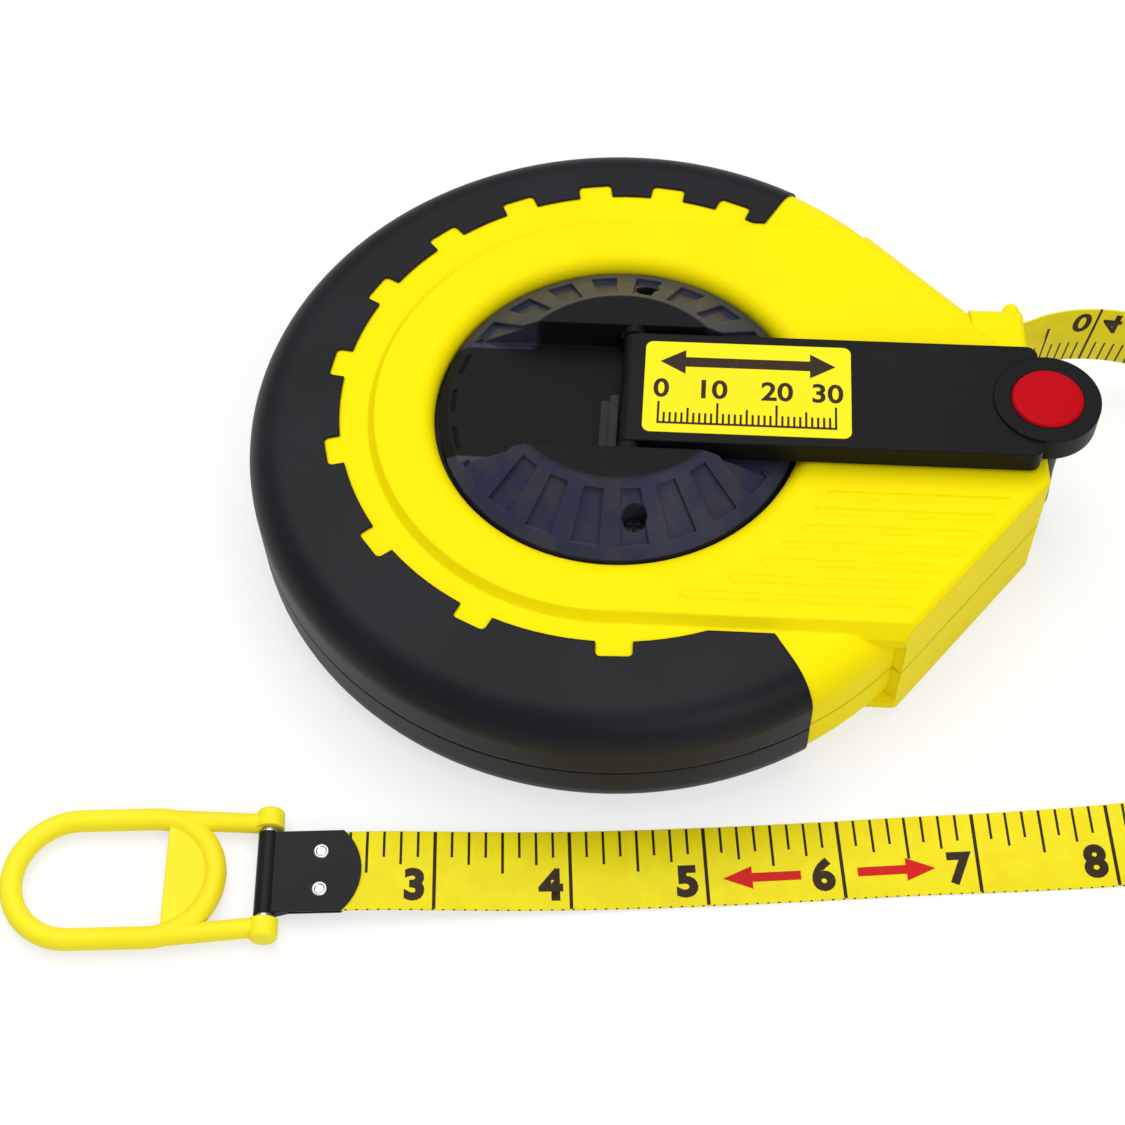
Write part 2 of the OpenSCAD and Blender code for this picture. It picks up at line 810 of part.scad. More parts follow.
module crank_hub() {
    cone_tilt = atan2(hub_top_z - hub_edge_z, hub_r - hub_top_r);
    recess_from = hub_top_r + 1.8;
    recess_to = hub_r - 2.4;
    hollow_low = slot_floor - hub_wall;
    color("dimgray")
        difference() {
            union() {
                difference() {
                    rotate_extrude()
                        polygon([
                            [0, hub_z], [hub_r, hub_z], [hub_r, hub_edge_z],
                            [hub_top_r, hub_top_z], [0, hub_top_z]
                        ]);
                    for (k = [0 : recess_count - 1])
                        rotate([0, 0, 90 + (k + 0.5) * 360 / recess_count])
                            translate([recess_from, 0, cone_z(recess_from)])
                                rotate([0, cone_tilt, 0])
                                    translate([0, 0, -recess_deep])
                                        linear_extrude(recess_deep + cut)
                                            recess((recess_to - recess_from) / cos(cone_tilt));
                    translate([-far_away / 2, -slot_half_w, slot_floor])
                        cube([far_away, 2 * slot_half_w, case_h]);
                }
                lugs();
            }
            difference() {
                rotate_extrude()
                    polygon([
                        [axle_r + 4, hub_z - cut], [hub_r - hub_wall, hub_z - cut],
                        [hub_r - hub_wall, cone_z(hub_r) - hub_wall],
                        [hub_top_r - hub_wall / 2, hub_top_z - hub_wall - recess_deep],
                        [axle_r + 4, hub_top_z - hub_wall - recess_deep]
                    ]);
                translate([-far_away / 2, -slot_half_w - hub_wall, hollow_low])
                    cube([far_away, 2 * (slot_half_w + hub_wall), case_h]);
                at_hub_screws() cylinder(r = hub_screw_head + hub_wall, h = 2 * case_h);
            }
            translate([fold_x, 0, fold_z])
                rotate([90, 0, 0])
                    cylinder(r = pin_r + fixed_play, h = 2 * pin_reach(), center = true);
            at_hub_screws() {
                cylinder(r = hub_screw_r + hub_screw_play, h = case_h);
                translate([0, 0, hub_screw_seat]) cylinder(r = hub_screw_head + hub_screw_play, h = case_h);
            }
        }
}

// Half length of the hinge pin, into both sides of the slot
function pin_reach() = slot_half_w + 1.6;

module recess(l) {
    polygon([
        [0, (recess_taper - recess_w) / 2], [l, -recess_w / 2],
        [l, recess_w / 2], [0, (recess_w - recess_taper) / 2]
    ]);
}

// Cheeks beside the arm that carry the hinge pin
module lugs() {
    lug_r = barrel_r + 0.6;
    lug_gap = 0.3;
    for (s = [0, 1])
        mirror([0, s, 0])
            translate([fold_x, arm_half_w + lug_gap, 0]) {
                translate([-lug_r, 0, slot_floor - cut])
                    cube([2 * lug_r, slot_half_w - arm_half_w, fold_z - slot_floor + cut]);
                translate([0, 0, fold_z])
                    rotate([-90, 0, 0]) cylinder(r = lug_r - 0.4, h = slot_half_w - arm_half_w);
            }
}

module hub_screws() {
    color("silver")
        at_hub_screws()
            translate([0, 0, 2 * hub_screw_seat])
                mirror([0, 0, 1])
                    screw(hub_screw_seat, 2 * hub_screw_seat - core_top + hub_screw_bite, hub_screw_r, hub_screw_head);
}

module crank_pin() {
    color("silver")
        translate([fold_x, 0, fold_z])
            rotate([90, 0, 0]) cylinder(r = pin_r, h = 2 * pin_reach(), center = true);
}

// Bent strip of spring steel on the slot floor beside the arm's barrel
module detent_spring() {
    sheet = 0.4;
    spring_top = slot_floor + 2.4;
    spring_w = 1.8;
    spring_x = fold_x - barrel_r - 2.2;
    color("silver")
        translate([spring_x, -arm_half_w, 0])
            difference() {
                union() {
                    translate([0, 0, slot_floor]) cube([sheet, arm_half_w + 1, spring_top - slot_floor]);
                    translate([0, 0, spring_top - sheet]) cube([spring_w, arm_half_w + 1, sheet]);
                    translate([-spring_w, 0, slot_floor]) cube([spring_w + sheet, arm_half_w + 1, sheet]);
                }
                translate([spring_w / 2 + sheet / 2, 1.2, spring_top - cut])
                    cylinder(r = 0.35, h = 2 * cut);
            }
}

// Plan of the arm's plate between its barrel and its rounded square end
module arm_plan(inset) {
    half_w = arm_half_w - inset;
    round = arm_round - min(inset, arm_round - 0.2);
    to = arm_end - inset;
    translate([fold_x, -half_w]) square([to - round - fold_x, 2 * half_w]);
    translate([fold_x, round - half_w]) square([to - fold_x, 2 * (half_w - round)]);
    for (s = [-1, 1])
        translate([to - round, s * (half_w - round)]) circle(round);
}

module crank_arm() {
    skirt_from = fold_x + barrel_r + 1.2;
    ribs = 3;
    rib_t = 1.2;
    color("dimgray")
        difference() {
            union() {
                translate([0, 0, arm_top - arm_plate]) linear_extrude(arm_plate) arm_plan(0);
                difference() {
                    translate([0, 0, arm_low]) linear_extrude(arm_top - arm_low) arm_plan(0);
                    translate([0, 0, arm_low - cut])
                        linear_extrude(arm_top - arm_low) arm_plan(arm_skirt);
                    translate([-cut, -far_away / 2, arm_low - cut])
                        cube([skirt_from + cut, far_away, arm_top - arm_low - arm_plate + cut]);
                }
                for (k = [0 : ribs])
                    translate([
                        skirt_from + k * (knob_x - eye_r - skirt_from) / ribs,
                        -arm_half_w + arm_skirt / 2,
                        arm_low + 1
                    ]) cube([rib_t, 2 * arm_half_w - arm_skirt, arm_top - arm_low - 1 - arm_plate / 2]);
                translate([fold_x, 0, fold_z])
                    rotate([90, 0, 0]) cylinder(r = barrel_r, h = 2 * arm_half_w, center = true);
                translate([knob_x, 0, arm_low]) cylinder(r = eye_r, h = eye_top - arm_low);
            }
            translate([fold_x, 0, fold_z])
                rotate([90, 0, 0])
                    cylinder(r = pin_r + pin_play, h = far_away, center = true);
            translate([knob_x, 0, 0]) {
                cylinder(r = knob_pin_r + fixed_play, h = far_away);
                translate([0, 0, cap_z - knob_head_t]) cylinder(r = knob_head_r() + fixed_play, h = far_away);
                translate([0, 0, cap_z]) cylinder(r = cap_r + fixed_play, h = far_away);
            }
        }
}

knob_head_t = 1.4;
function knob_head_r() = 1.9 * knob_pin_r;

module arm_label() {
    color("gold")
        translate([label_x, -label_w / 2, arm_top])
            linear_extrude(label_t) {
                translate([label_round, 0]) square([label_l - 2 * label_round, label_w]);
                translate([0, label_round]) square([label_l, label_w - 2 * label_round]);
                for (x = [label_round, label_l - label_round], y = [label_round, label_w - label_round])
                    translate([x, y]) circle(label_round);
            }
}

// Steel pin with a head under the cap and a riveted foot inside the knob
module knob_pin() {
    color("silver")
        translate([knob_x, 0, 0]) {
            translate([0, 0, knob_low + knob_foot_up]) cylinder(r = knob_pin_r, h = cap_z - knob_low - knob_foot_up);
            translate([0, 0, cap_z - knob_head_t]) cylinder(r = knob_head_r(), h = knob_head_t);
            translate([0, 0, knob_low + knob_foot_up]) cylinder(r = knob_foot_r(), h = knob_foot_t);
        }
}

knob_foot_up = 0.8;
knob_foot_t = 1.2;
knob_foot_play = 0.2;
function knob_foot_r() = 1.6 * knob_pin_r;

// Red cap pressed into the eye, with a rounded edge
module knob_cap() {
    top = eye_top + cap_rise;
    color("crimson")
        translate([knob_x, 0, 0])
            rotate_extrude() {
                translate([0, cap_z]) square([cap_r, top - cap_round - cap_z]);
                translate([0, cap_z]) square([cap_r - cap_round, top - cap_z]);
                intersection() {
                    translate([cap_r - cap_round, top - cap_round]) circle(cap_round);
                    translate([0, cap_z]) square([cap_r, top - cap_z]);
                }
            }
}

// Finger knob that turns on its pin, waisted in the middle, with a rounded foot
module knob() {
    foot = 1.5;
    color("dimgray")
        translate([knob_x, 0, 0])
            difference() {
                rotate_extrude()
                    union() {
                        polygon([
                            [0, knob_low + foot], [knob_waist + 0.5, knob_low + foot],
                            [knob_waist, knob_low + 0.4 * knob_l], [knob_waist, knob_low + 0.6 * knob_l],
                            [knob_r, knob_top - 1.5], [knob_r, knob_top], [0, knob_top]
                        ]);
                        translate([0, knob_low]) square([knob_waist + 0.5 - foot, 2 * foot]);
                        intersection() {
                            translate([knob_waist + 0.5 - foot, knob_low + foot]) circle(foot);
                            translate([0, knob_low]) square([knob_r, foot]);
                        }
                    }
                cylinder(r = knob_pin_r + axle_play, h = case_h + cut);
                translate([0, 0, knob_low - cut])
                    cylinder(
                        r = knob_foot_r() + knob_foot_play,
                        h = cut + knob_foot_up + knob_foot_t + knob_foot_play
                    );
            }
}

// Frame of the tape's end: x along the tape towards the case, middle of the ring pin above
module at_tape_end() {
    translate([-ring_pin_x, clip_y, 0]) rotate([0, 0, tape_heading]) children();
}

// Room between the clip's leaves for the tape
leaf_gap = tape_t + 0.1;

// Folded sheet: a loop round the pin and two leaves that hold the tape between them
module tape_clip() {
    loop_in = ring_pin_r + 0.05;
    loop_out = loop_in + clip_t;
    ramp = 4.5;
    leaf_to = clip_l + 1;
    leaf_x = 0.6 * (loop_in + clip_t / 2);
    leaf_z = 0.8 * (loop_in + clip_t / 2);
    up = tape_end_z + leaf_gap / 2;
    down = tape_end_z - leaf_gap / 2;
    color("black")
        at_tape_end()
            intersection() {
                rotate([90, 0, 0]) {
                    translate([0, ring_pin_z, 0])
                        difference() {
                            cylinder(r = loop_out, h = clip_w, center = true);
                            cylinder(r = loop_in, h = 2 * clip_w, center = true);
                        }
                    linear_extrude(clip_w - 0.2, center = true)
                        polygon([
                            [leaf_x, ring_pin_z + leaf_z], [ramp, up + clip_t], [leaf_to, up + clip_t],
                            [leaf_to, up], [ramp, up], [ramp, down], [leaf_to, down],
                            [leaf_to, down - clip_t], [ramp, down - clip_t],
                            [leaf_x, ring_pin_z - leaf_z], [loop_in + clip_t / 2, ring_pin_z]
                        ]);
                }
                translate([0, 0, -cut]) linear_extrude(case_h) clip_plan();
                difference() {
                    translate([-case_h, -case_h, -cut]) cube([4 * case_h, 2 * case_h, case_h]);
                    at_eyelets() cylinder(r = eyelet_bore(), h = case_h, center = true);
                }
            }
}

module clip_plan() {
    half_w = clip_w / 2;
    intersection() {
        translate([-2 * boss_r, -half_w]) square([2 * boss_r + clip_l + 1, clip_w]);
        union() {
            translate([-3 * boss_r, -clip_w]) square([3 * boss_r + clip_l - clip_end_r, 2 * clip_w]);
            translate([clip_l - clip_end_r, 0]) circle(clip_end_r);
        }
    }
}

module at_eyelets() {
    for (s = [-1, 1])
        translate([eyelet_x, s * eyelet_pitch / 2, 0]) children();
}

function eyelet_bore() = 0.6 * eyelet_r;

// Two eyelets with a closed floor, seated on the upper leaf
module clip_eyelets() {
    seat = tape_end_z + leaf_gap / 2 + clip_t;
    rise = 0.35;
    color("silver")
        at_tape_end()
            at_eyelets()
                translate([0, 0, seat])
                    rotate_extrude() {
                        square([0.7 * eyelet_r, rise / 3]);
                        translate([0.7 * eyelet_r, 0])
                            intersection() {
                                circle(rise);
                                translate([-eyelet_r, 0]) square([2 * eyelet_r, rise]);
                            }
                    }
}

// Length of the ring pin, which ends inside the bosses
function ring_pin_l() = clip_w + 2 * (boss_gap + boss_l - boss_round);

module ring_pin() {
    color("silver")
        at_tape_end()
            translate([0, 0, ring_pin_z])
                rotate([90, 0, 0])
                    cylinder(r = ring_pin_r, h = ring_pin_l(), center = true);
}

// Moulded ring: a round bar bent to an oval, a web across its first end, and two arms to the pin
module pull_ring() {
    boss_from = clip_w / 2 + boss_gap;
    arm_y = boss_from + 0.3 * boss_l;
    web_from = 2.8 - ring_reach;
    color("gold")
        at_tape_end()
            translate([0, 0, ring_pin_z])
                difference() {
                    union() {
                        for (s = [0, 1])
                            translate([-ring_reach - s * ring_side, 0, 0])
                                rotate([0, 0, s == 0 ? -90 : 90])
                                    rotate_extrude(angle = 180)
                                        translate([ring_turn_r, 0]) circle(ring_bar_r);
                        for (s = [-1, 1]) {
                            translate([-ring_reach - ring_side, s * ring_turn_r, 0])
                                rotate([0, 90, 0]) cylinder(r = ring_bar_r, h = ring_side);
                            translate([-ring_reach, s * ring_turn_r, 0])
                                rotate([0, 90, s * -atan2(ring_turn_r - arm_y, ring_reach)])
                                    cylinder(r = 0.9 * ring_bar_r, h = ring_reach);
                            translate([0, s * boss_from, 0])
                                rotate([s * -90, 0, 0]) rotate_extrude() boss_section();
                        }
                        translate([0, 0, -web_t / 2])
                            linear_extrude(web_t)
                                intersection() {
                                    translate([-ring_reach, 0]) circle(ring_turn_r);
                                    translate([web_from, -ring_turn_r])
                                        square([ring_turn_r, 2 * ring_turn_r]);
                                }
                    }
                    rotate([90, 0, 0])
                        cylinder(r = ring_pin_r + pin_play, h = ring_pin_l() + 2 * pin_play, center = true);
                }
}

// Section of a boss with a rounded outer end
module boss_section() {
    square([boss_r, boss_l - boss_round]);
    square([boss_r - boss_round, boss_l]);
    intersection() {
        translate([boss_r - boss_round, boss_l - boss_round]) circle(boss_round);
        square([boss_r, boss_l]);
    }
}

case_lower();
case_upper();
grip_lower();
grip_upper();
tape_guide();
case_screws();
drum_washer();
drum_core();
drum_flange();
tape_roll();
tape_lead();
crank_hub();
hub_screws();
crank_pin();
detent_spring();
crank_arm();
arm_label();
knob_pin();
knob_cap();
knob();
tape_out();
tape_clip();
clip_eyelets();
ring_pin();
pull_ring();
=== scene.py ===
import bpy
import numpy as np
from mathutils import Matrix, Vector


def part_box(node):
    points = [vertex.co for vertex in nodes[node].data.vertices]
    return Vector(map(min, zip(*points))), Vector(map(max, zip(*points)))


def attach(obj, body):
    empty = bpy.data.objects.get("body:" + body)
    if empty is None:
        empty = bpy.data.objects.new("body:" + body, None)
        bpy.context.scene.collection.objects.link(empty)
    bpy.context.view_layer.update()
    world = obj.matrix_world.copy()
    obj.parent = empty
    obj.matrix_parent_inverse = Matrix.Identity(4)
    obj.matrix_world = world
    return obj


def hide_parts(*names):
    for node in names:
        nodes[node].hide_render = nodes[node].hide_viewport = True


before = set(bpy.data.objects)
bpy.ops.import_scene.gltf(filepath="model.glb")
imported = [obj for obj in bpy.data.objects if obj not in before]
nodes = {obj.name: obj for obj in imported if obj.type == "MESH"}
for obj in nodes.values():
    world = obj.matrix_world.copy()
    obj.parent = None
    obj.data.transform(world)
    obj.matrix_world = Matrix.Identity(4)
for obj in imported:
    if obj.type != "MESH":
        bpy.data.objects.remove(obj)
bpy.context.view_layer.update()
MM = 0.001


# Camera: a studio camera above and in front of the reel, looking down at about 57 degrees
# with a short telephoto lens, turned slightly so that the crank arm slopes down to the right.
def set_up(thing, sideways, upwards, backwards, place):
    """Stands a camera or lamp at place, with those three directions as its own x, y and z."""
    stand = Matrix.Identity(4)
    for row in range(3):
        stand[row] = (sideways[row], upwards[row], backwards[row], place[row])
    thing.matrix_world = stand
    bpy.context.scene.collection.objects.link(thing)


eye = np.array([13.14, -244.31, 345.88]) * MM
pan, elevation, roll = np.radians([6.02, 56.68, -2.57])
backward = np.array([np.sin(pan) * np.cos(elevation), -np.cos(pan) * np.cos(elevation), np.sin(elevation)])
level = np.array([np.cos(pan), np.sin(pan), 0.0])
upward = np.cross(backward, level)
right = np.cos(roll) * level + np.sin(roll) * upward
above = -np.sin(roll) * level + np.cos(roll) * upward
lens = bpy.data.cameras.new("camera")
lens.lens = 64.0
lens.sensor_width = 36.0
lens.clip_start = 0.01
camera = bpy.data.objects.new("camera", lens)
set_up(camera, right, above, backward, eye)
bpy.context.scene.camera = camera

# Pulled-out tape: a 16 mm band of glass fibre coated in yellow vinyl, printed in inches on
# one face and centimetres on the other. It leaves the mouth on edge, swings round in a loop
# and lies flat in front of the case, up to its folded end clip.
TAPE_WIDTH = 16 * MM
TAPE_THICKNESS = 0.4 * MM
TAPE_RINGS = 420
INCH = 25.4 * MM
# Where the eight inch line crosses the front stretch.
EIGHT_INCH_X = 96.5 * MM
# Points of the tape's middle line, each x, y and z in millimetres and the lean in degrees.
tape_route = np.array([
    [76.5, 28, 17.3, 90], [79.5, 28.4, 17.3, 90], [83, 29.7, 17.2, 90], [87, 31.8, 17, 90],
    [92, 33.6, 16.6, 90], [98, 34.8, 15.9, 90], [106.5, 35, 14.8, 90], [116, 33.5, 13.4, 90],
    [126.5, 29.8, 11.8, 90], [137, 24.3, 10.4, 90], [146.5, 17.2, 9.3, 90], [155, 8.5, 8.6, 90],
    [161, -1.7, 8.3, 90], [164.5, -12.8, 8.2, 90], [165.5, -24.4, 8.2, 88], [163.6, -36, 8.2, 82],
    [158.8, -46.8, 8, 73], [151.5, -56.2, 7.3, 61], [142, -64, 6.1, 46], [131, -69.6, 4.4, 30],
    [119, -73.3, 3, 19], [107.5, -75.5, 2, 12], [96, -77, 1.3, 7], [80, -78.8, 0.8, 3.5],
    [60, -80.8, 0.5, 1], [40, -83.1, 0.4, 0], [20, -85.3, 0.5, 0], [0, -87.3, 0.9, 0],
    [-15, -88.7, 1.7, 0], [-30, -89.9, 2.8, 0], [-42, -90.9, 3.6, 0], [-48, -91.4, 3.6, 0],
    [-55, -92, 3.6, 0],
]) * [MM, MM, MM, 1]


def run_along(points):
    """Distance along a line of points, from the first to each."""
    return np.concatenate([[0], np.cumsum(np.linalg.norm(np.diff(points[:, :3], axis=0), axis=1))])


def smooth_route(points, count):
    """count points on a cubic curve through all the points, with slopes from their neighbours."""
    knots = run_along(points)
    slopes = np.gradient(points, knots, axis=0)
    at = np.linspace(0, knots[-1], count)
    span = np.clip(np.searchsorted(knots, at, side="right") - 1, 0, len(knots) - 2)
    step = (knots[span + 1] - knots[span])[:, None]
    t = (at - knots[span])[:, None] / step
    return ((2 * t**3 - 3 * t**2 + 1) * points[span] + (t**3 - 2 * t**2 + t) * step * slopes[span]
            + (3 * t**2 - 2 * t**3) * points[span + 1] + (t**3 - t**2) * step * slopes[span + 1])


def unit(vectors):
    """Each row divided by its length."""
    return vectors / np.linalg.norm(vectors, axis=1, keepdims=True)


smooth = smooth_route(tape_route, TAPE_RINGS)
middle_line = smooth[:, :3]
along = unit(np.gradient(middle_line, axis=0))
left = unit(np.stack([-along[:, 1], along[:, 0], np.zeros(TAPE_RINGS)], axis=1))
lean = np.radians(smooth[:, 3:])
across = -np.cos(lean) * left + np.sin(lean) * np.cross(along, left)
facing = np.cross(along, across)
run = run_along(middle_line)
front = slice(TAPE_RINGS // 2 + 1, None)
eight_inch_run = np.interp(EIGHT_INCH_X, middle_line[front][::-1, 0], run[front][::-1])
reading = 8 * INCH + eight_inch_run - run


def band_section(width, thickness, turns=5):
    """Closed outline of a flat band with half-round edges: offset across it and lift off its middle."""
    radius = thickness / 2
    angle = np.linspace(-np.pi / 2, np.pi / 2, turns)
    edge = np.stack([width / 2 - radius + radius * np.cos(angle), radius * np.sin(angle)], axis=1)
    return np.concatenate([edge, -edge])


def add_piece(name, vertices, faces, body, slot, uv=None):
    """A mesh object at the origin from vertex and face arrays, smooth, riding on a body."""
    mesh = bpy.data.meshes.new(name)
    mesh.from_pydata(np.asarray(vertices).tolist(), [], [list(face) for face in faces])
    mesh.shade_smooth()
    if uv is not None:
        corners = np.empty(len(mesh.loops), dtype=np.int32)
        mesh.loops.foreach_get("vertex_index", corners)
        layer = mesh.uv_layers.new(name="UVMap")
        layer.data.foreach_set("uv", np.asarray(uv, dtype=np.float32)[corners].ravel())
    piece = bpy.data.objects.new(name, mesh)
    bpy.context.scene.collection.objects.link(piece)
    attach(piece, body)
    return piece


section = band_section(TAPE_WIDTH, TAPE_THICKNESS)
sides = len(section)
tape_points = (middle_line[:, None] + across[:, None] * section[None, :, :1]
               + facing[:, None] * section[None, :, 1:]).reshape(-1, 3)
corner = np.arange(TAPE_RINGS * sides).reshape(TAPE_RINGS, sides)
next_corner = np.roll(corner, -1, axis=1)
band_faces = np.stack([corner[:-1], next_corner[:-1], next_corner[1:], corner[1:]], axis=-1).reshape(-1, 4)
end_faces = [corner[0, ::-1], corner[-1]]
tape_uv = np.stack([np.repeat(reading, sides), np.tile(section[:, 0], TAPE_RINGS)], axis=1)
tape = add_piece("tape_band", tape_points, list(band_faces) + end_faces, "case", "tape_print", tape_uv)
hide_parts("tape_out")
# The flat side that closes the section is the inch face, and all the others take the metric finish.
finish_index = np.zeros((TAPE_RINGS - 1, sides), dtype=np.int32)
finish_index[:, -1] = 1
finish_index = np.concatenate([finish_index.ravel(), np.zeros(len(end_faces), dtype=np.int32)])
tape.data.polygons.foreach_set("material_index", finish_index)

TAPE_YELLOW = (0.86, 0.745, 0.006, 1)
TAPE_SHADE = (0.82, 0.69, 0.006, 1)
INK = (0.030, 0.014, 0.004, 1)
THREAD_PITCH, HALF_THREAD, THREAD_BLUR = 1.1 * MM, 0.4 * MM, 0.15 * MM
# Printed lines of each face: spacing, half the line's width, and its length from the face's ruled edge.
RIGHT_ACROSS = 2 * TAPE_WIDTH
INCH_LINES = [(INCH / 8, 0.25 * MM, 5.4 * MM), (INCH / 4, 0.25 * MM, 6.9 * MM),
              (INCH / 2, 0.27 * MM, 8.6 * MM), (INCH, 0.34 * MM, RIGHT_ACROSS)]
METRIC_LINES = [(2 * MM, 0.2 * MM, 5.8 * MM), (10 * MM, 0.22 * MM, 10.2 * MM),
                (100 * MM, 0.28 * MM, RIGHT_ACROSS)]


class Signal:
    """A shader socket that is used like a number: arithmetic on it adds Math nodes."""

    def __init__(self, tree, socket=None):
        self.tree = tree
        self.socket = socket

    def node(self, kind, settings=None, inputs=None, out=0):
        """Adds a node of that kind, sets its settings, then its sockets, and returns an output."""
        made = self.tree.nodes.new(kind)
        for key, value in (settings or {}).items():
            setattr(made, key, value)
        for key, value in (inputs or {}).items():
            if isinstance(value, Signal):
                self.tree.links.new(value.socket, made.inputs[key])
            else:
                made.inputs[key].default_value = value
        return Signal(self.tree, made.outputs[out])

    def output(self, key):
        """Another output of the node that this signal comes from."""
        return Signal(self.tree, self.socket.node.outputs[key])

    def math(self, operation, *values):
        """A Math node on those values, or on this signal alone."""
        return self.node("ShaderNodeMath", {"operation": operation}, dict(enumerate(values or (self,))))

    def __add__(self, other):
        return self.math("ADD", self, other)

    def __radd__(self, other):
        return self.math("ADD", other, self)

    def __sub__(self, other):
        return self.math("SUBTRACT", self, other)

    def __rsub__(self, other):
        return self.math("SUBTRACT", other, self)

    def __mul__(self, other):
        return self.math("MULTIPLY", self, other)

    def __rmul__(self, other):
        return self.math("MULTIPLY", other, self)

    def __truediv__(self, other):
        return self.math("DIVIDE", self, other)

    def __gt__(self, other):
        return self.math("GREATER_THAN", self, other)

    def __lt__(self, other):
        return self.math("LESS_THAN", self, other)

    def either(self, other):
        """The larger of the two, which joins two masks."""
        return self.math("MAXIMUM", self, other)

    def soft_step(self, low, high):
        """0 below low, 1 above high and a smooth rise between."""
        return self.node("ShaderNodeMapRange", {"interpolation_type": "SMOOTHSTEP"},
                         {"Value": self, "From Min": low, "From Max": high})

    def near_multiple(self, period, half_width, blur=0.04 * MM):
        """1 within half_width of each whole multiple of period and 0 elsewhere."""
        shifted = self / period + 0.5
        off = (shifted.math("FRACT") - 0.5) * period
        return 1.0 - off.math("ABSOLUTE").soft_step(half_width - blur, half_width + blur)

    def mix_colour(self, first, second):
        """first where this is 0, second where it is 1."""
        return self.node("ShaderNodeMix", {"data_type": "RGBA"}, {0: self, 6: first, 7: second}, 2)

    def object_place(self):
        """The place on the piece, in its own coordinates."""
        return self.node("ShaderNodeTexCoord", out="Object")

    def noise(self, scale, detail):
        """Cloudy noise over this place."""
        return self.node("ShaderNodeTexNoise", None, {"Vector": self, "Scale": scale, "Detail": detail})

    def rounded(self, radius):
        """The surface normal, with edges rounded by radius."""
        return self.node("ShaderNodeBevel", {"samples": 6}, {"Radius": radius})

    def bump(self, strength, **inputs):
        """The surface normal, with this signal as fine relief."""
        return self.node("ShaderNodeBump", None,
                         {"Strength": strength, "Distance": 0.1 * MM, "Height": self, **inputs})


def start_finish(name):
    """A new material with one Principled shader; returns the material, a signal and the shader."""
    material = bpy.data.materials.new(name)
    material.use_nodes = True
    tree = material.node_tree
    return material, Signal(tree), tree.nodes["Principled BSDF"]


def feed(shader, **values):
    """Sets or links the Principled shader's sockets, named with _ for spaces."""
    for key, value in values.items():
        socket = shader.inputs[key.replace("_", " ")]
        if isinstance(value, Signal):
            shader.id_data.links.new(value.socket, socket)
        else:
            socket.default_value = value


def ruled(place, from_edge, lines):
    """1 on the lines, which start at the ruled edge and stand at each multiple of their spacing."""
    ink = 0.0
    for spacing, half_width, length in lines:
        ink = (place.near_multiple(spacing, half_width) * (from_edge < length)).either(ink)
    return ink


def tape_finish(name, lines, edge):
    """Yellow vinyl over a glass weave, ruled in ink from the edge on the side 1 or -1."""
    material, signal, shader = start_finish(name)
    place = signal.node("ShaderNodeUVMap", {"uv_map": "UVMap"})
    place_along = signal.node("ShaderNodeSeparateXYZ", None, {0: place})
    place_across = place_along.output(1)
    cloud = place.noise(240.0, 3.0)
    vinyl = cloud.soft_step(0.3, 0.7).mix_colour(TAPE_YELLOW, TAPE_SHADE)
    ink = ruled(place_along, TAPE_WIDTH / 2 - edge * place_across, lines)
    weave = (place_along.near_multiple(THREAD_PITCH, HALF_THREAD, THREAD_BLUR)
             + place_across.near_multiple(THREAD_PITCH, HALF_THREAD, THREAD_BLUR))
    feed(shader, Base_Color=ink.mix_colour(vinyl, INK), Roughness=0.42 + 0.1 * cloud,
         Specular_IOR_Level=0.15, Normal=weave.bump(0.08))
    return material


tape.data.materials.append(tape_finish("tape_metric_face", METRIC_LINES, edge=-1))
tape.data.materials.append(tape_finish("tape_inch_face", INCH_LINES, edge=1))

# Figures and arrows on the tape: printed in ink on the vinyl, beside each inch line on one
# face and beside each centimetre on the other, with a red arrow on both sides of six inches.
INK_LIFT = 0.03 * MM
PRINT_LIFT = TAPE_THICKNESS / 2 + INK_LIFT
FONT_SIZE_PER_HEIGHT = 1.37


def figure_mesh(text, height, weight):
    """Points and faces of a flat figure of that height, thickened by weight, right foot at the origin."""
    curve = bpy.data.curves.new("figure", "FONT")
    curve.body = text
    curve.size = height * FONT_SIZE_PER_HEIGHT
    curve.offset = weight
    curve.resolution_u = 4
    curve.align_x = "RIGHT"
    holder = bpy.data.objects.new("figure", curve)
    mesh = bpy.data.meshes.new_from_object(holder)
    points = np.empty(len(mesh.vertices) * 3)
    mesh.vertices.foreach_get("co", points)
    faces = [list(face.vertices) for face in mesh.polygons]
    bpy.data.objects.remove(holder)
    bpy.data.curves.remove(curve)
    bpy.data.meshes.remove(mesh)
    return points.reshape(-1, 3)[:, :2], faces


def turned_figure(text, height, weight, right_foot, turn):
    """A figure with its right foot at that reading and offset; turn -1 gives it half a turn."""
    points, faces = figure_mesh(text, height, weight)
    return points * turn + right_foot, faces


def gathered(drawings):
    """Flat drawings as one: all their points, and their faces with the corners counted on."""
    starts = np.cumsum([0] + [len(points) for points, _ in drawings])
    faces = [[start + corner for corner in face]
             for start, (_, drawn) in zip(starts, drawings) for face in drawn]
    return np.concatenate([points for points, _ in drawings]), faces


def on_tape(points, lift):
    """Points of the tape at a reading and an offset, lifted off its middle towards the metric face."""
    def take(table):
        return np.stack([np.interp(points[:, 0], reading[::-1], column[::-1]) for column in table.T], axis=1)

    return take(middle_line) + take(across) * points[:, 1:] + take(facing) * lift


def printed_on_tape(name, drawings, lift, ink):
    """One thin printed piece from flat drawings in readings and offsets."""
    points, faces = gathered(drawings)
    piece = add_piece(name, on_tape(points, lift), faces, "case", "tape_print")
    piece.data.materials.append(ink)
    return piece


